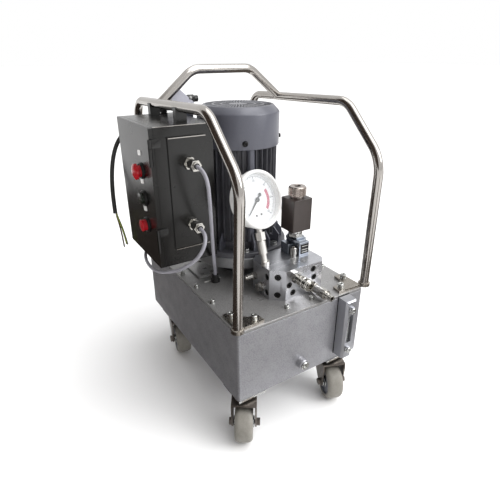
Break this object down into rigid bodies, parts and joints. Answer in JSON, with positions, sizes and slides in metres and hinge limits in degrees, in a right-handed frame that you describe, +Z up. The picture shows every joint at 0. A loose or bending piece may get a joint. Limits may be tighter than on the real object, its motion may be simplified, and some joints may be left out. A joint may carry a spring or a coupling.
{
  "type": "wheeled hydraulic power unit",
  "caption": "Wheeled electric hydraulic power unit: vertical motor and axial piston pump on a steel oil tank, with manifold, gauge, solenoid valve, control box and tube frame.",
  "frame": {"origin": "centre of the footprint at the floor", "axes": "+Z up, -Y out of the tank's front with the couplers, -X towards the control box's door"},
  "size_m": [0.4069, 0.4576, 0.6596],
  "materials": {
    "tank_paint": "fine hammered grey paint",
    "lid_paint": "satin grey paint",
    "stainless": "polished stainless tube",
    "zinc": "bright zinc plate",
    "motor_paint": "dark slate semi-gloss paint",
    "cowl_paint": "dark slate semi-gloss paint",
    "cast_light": "as cast",
    "block_alu": "machined and clear anodised",
    "plug_black": "black oxide",
    "nickel": "bright nickel plate",
    "steel": "ground steel",
    "iron": "cast",
    "coil_black": "moulded",
    "box_black": "satin black paint",
    "lilac_grey": "pale grey paint",
    "black_plastic": "moulded",
    "red_plastic": "moulded",
    "dark_button": "moulded",
    "white_case": "white enamel",
    "dial_white": "white enamel",
    "sight_tube": "clear",
    "tread": "grey tread",
    "grey_cable": "grey sheath",
    "black_cable": "black sheath"
  },
  "bodies": {
    "base": {"tank_shell": "tank_paint", "lid_plate": "lid_paint", "hatch_plate": "iron", "cap_screws": "zinc", "frame_brackets": "stainless", "drain_plug": "zinc", "level_gauge_frame": "block_alu", "level_gauge_tube": "sight_tube", "hoop_left": "stainless", "hoop_right": "stainless", "handle_bar": "stainless", "bell_housing": "cast_light", "motor_flange": "motor_paint", "motor_housing": "motor_paint", "fan_cowl": "cowl_paint", "motor_stator": "iron", "terminal_box": "motor_paint", "terminal_lid": "lilac_grey", "plastic_glands": "black_plastic", "pump_housing": "iron", "swash_plate": "steel", "pump_pipes": "steel", "manifold_front": "block_alu", "manifold_rear": "block_alu", "manifold_plugs": "plug_black", "manifold_fittings": "nickel", "coupler_female": "nickel", "coupler_male": "nickel", "gauge_stem": "nickel", "gauge_case": "white_case", "gauge_dial": "dial_white", "valve_body": "iron", "solenoid_coil": "coil_black", "coil_nut": "nickel", "control_box": "box_black", "box_glands": "nickel", "caster_plates": "zinc", "cable_upper": "grey_cable", "cable_lower": "grey_cable", "supply_cord": "black_cable"},
    "rotor": {"motor_rotor": "steel", "motor_fan": "black_plastic", "coupling": "steel", "rotating_group": "steel", "pump_shaft": "steel"},
    "door": {"box_door": "box_black", "button_bezels": "nickel"},
    "stop_button": {"button_stop": "red_plastic"},
    "start_button": {"button_start": "dark_button"},
    "reset_button": {"button_reset": "red_plastic"},
    "pointer": {"gauge_pointer": "plug_black"},
    "sleeve": {"coupler_sleeve": "nickel"},
    "swivel_front_left": {"fork_front_left": "zinc"},
    "roller_front_left": {"wheel_front_left": "tread"},
    "swivel_front_right": {"fork_front_right": "zinc"},
    "roller_front_right": {"wheel_front_right": "tread"},
    "swivel_rear_left": {"fork_rear_left": "zinc"},
    "roller_rear_left": {"wheel_rear_left": "tread"},
    "swivel_rear_right": {"fork_rear_right": "zinc"},
    "roller_rear_right": {"wheel_rear_right": "tread"}
  },
  "joints": [
    {"name": "motor_spin", "type": "hinge", "parent": "base", "child": "rotor", "pos_m": [0.0254, 0.0367, 0.288], "axis": [0, 0, 1], "continuous": true},
    {"name": "swivel_front_left", "type": "hinge", "parent": "base", "child": "swivel_front_left", "pos_m": [-0.0866, -0.1633, 0.088], "axis": [0, 0, 1], "continuous": true},
    {"name": "roll_front_left", "type": "hinge", "parent": "swivel_front_left", "child": "roller_front_left", "pos_m": [-0.10226, -0.18651, 0.0375], "axis": [0.829, -0.5592, 0], "continuous": true},
    {"name": "swivel_front_right", "type": "hinge", "parent": "base", "child": "swivel_front_right", "pos_m": [0.1254, -0.1643, 0.088], "axis": [0, 0, 1], "continuous": true},
    {"name": "roll_front_right", "type": "hinge", "parent": "swivel_front_right", "child": "roller_front_right", "pos_m": [0.11491, -0.19026, 0.0375], "axis": [0.9272, -0.3746, 0], "continuous": true},
    {"name": "swivel_rear_left", "type": "hinge", "parent": "base", "child": "swivel_rear_left", "pos_m": [-0.0866, 0.1507, 0.088], "axis": [0, 0, 1], "continuous": true},
    {"name": "roll_rear_left", "type": "hinge", "parent": "swivel_rear_left", "child": "roller_rear_left", "pos_m": [-0.09337, 0.12353, 0.0375], "axis": [0.9703, -0.2419, 0], "continuous": true},
    {"name": "swivel_rear_right", "type": "hinge", "parent": "base", "child": "swivel_rear_right", "pos_m": [0.1374, 0.1507, 0.088], "axis": [0, 0, 1], "continuous": true},
    {"name": "roll_rear_right", "type": "hinge", "parent": "swivel_rear_right", "child": "roller_rear_right", "pos_m": [0.16034, 0.16676, 0.0375], "axis": [-0.5736, 0.8192, 0], "continuous": true},
    {"name": "door_hinge", "type": "hinge", "parent": "base", "child": "door", "pos_m": [-0.181, -0.0313, 0.445], "axis": [0, 0, 1], "range_deg": [0, 110]},
    {"name": "stop_press", "type": "slide", "parent": "door", "child": "stop_button", "axis": [1, 0, 0], "range_m": [0, 0.0025], "stiffness_N_per_m": 600, "springref_m": -0.002},
    {"name": "start_press", "type": "slide", "parent": "door", "child": "start_button", "axis": [1, 0, 0], "range_m": [0, 0.0025], "stiffness_N_per_m": 600, "springref_m": -0.002},
    {"name": "reset_press", "type": "slide", "parent": "door", "child": "reset_button", "axis": [1, 0, 0], "range_m": [0, 0.0025], "stiffness_N_per_m": 600, "springref_m": -0.002},
    {"name": "pointer_turn", "type": "hinge", "parent": "base", "child": "pointer", "pos_m": [-0.0065, -0.08112, 0.43613], "axis": [0.1838, -0.9254, 0.3314], "range_deg": [-270, 0], "stiffness_Nm_per_rad": 0.002, "springref_deg": 34.38},
    {"name": "sleeve_slide", "type": "slide", "parent": "base", "child": "sleeve", "axis": [0, 1, 0], "range_m": [0, 0.005], "stiffness_N_per_m": 500, "springref_m": -0.004}
  ]
}
